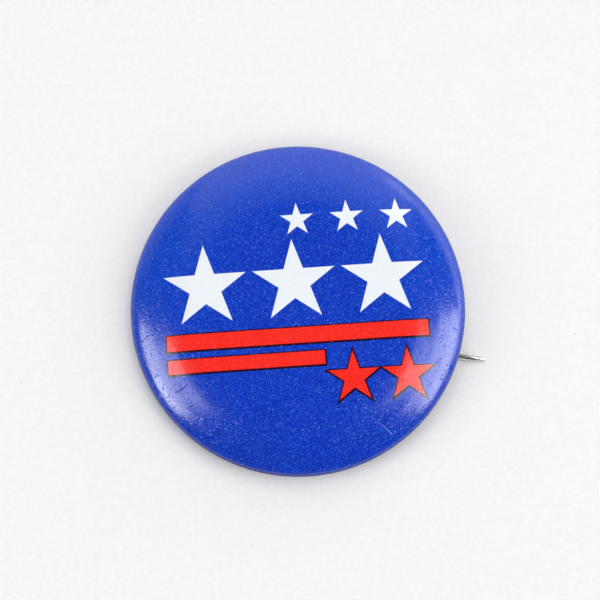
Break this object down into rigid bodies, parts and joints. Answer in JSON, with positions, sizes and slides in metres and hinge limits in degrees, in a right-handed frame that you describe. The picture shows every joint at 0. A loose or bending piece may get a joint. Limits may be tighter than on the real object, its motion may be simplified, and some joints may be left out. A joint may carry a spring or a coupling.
{
  "type": "button badge",
  "caption": "Round pin-back button badge: domed printed face, wrapped rim, steel collet in an open back, and a one-piece spring pin lying unlatched.",
  "frame": {"origin": "middle of the front face, on the badge's axis", "axes": "+Z out of the front face, +Y to the top of the artwork, +X to the artwork's right; the pin's point lies towards +X"},
  "size_m": [0.047, 0.0444, 0.0067],
  "materials": {
    "tinplate": "satin",
    "printed_paper": "matte",
    "clear_film": "gloss",
    "collet_steel": "satin",
    "pin_wire": "gloss"
  },
  "bodies": {
    "badge": {"tin_body": "tinplate", "printed_paper": "printed_paper", "cover_film": "clear_film", "collet_ring": "collet_steel"},
    "spring_ring": {"pin_spring_ring": "pin_wire"},
    "arm": {"pin_arm": "pin_wire"}
  },
  "joints": [
    {"name": "ring_turn", "type": "hinge", "parent": "badge", "child": "spring_ring", "pos_m": [0, 0, -0.00405], "axis": [0, 0, 1], "continuous": true},
    {"name": "pin_lift", "type": "hinge", "parent": "spring_ring", "child": "arm", "pos_m": [-0.01745, 0.00185, -0.0041], "axis": [0.2317, 0.9728, 0], "range_deg": [0, 45], "stiffness_Nm_per_rad": 0.37}
  ]
}
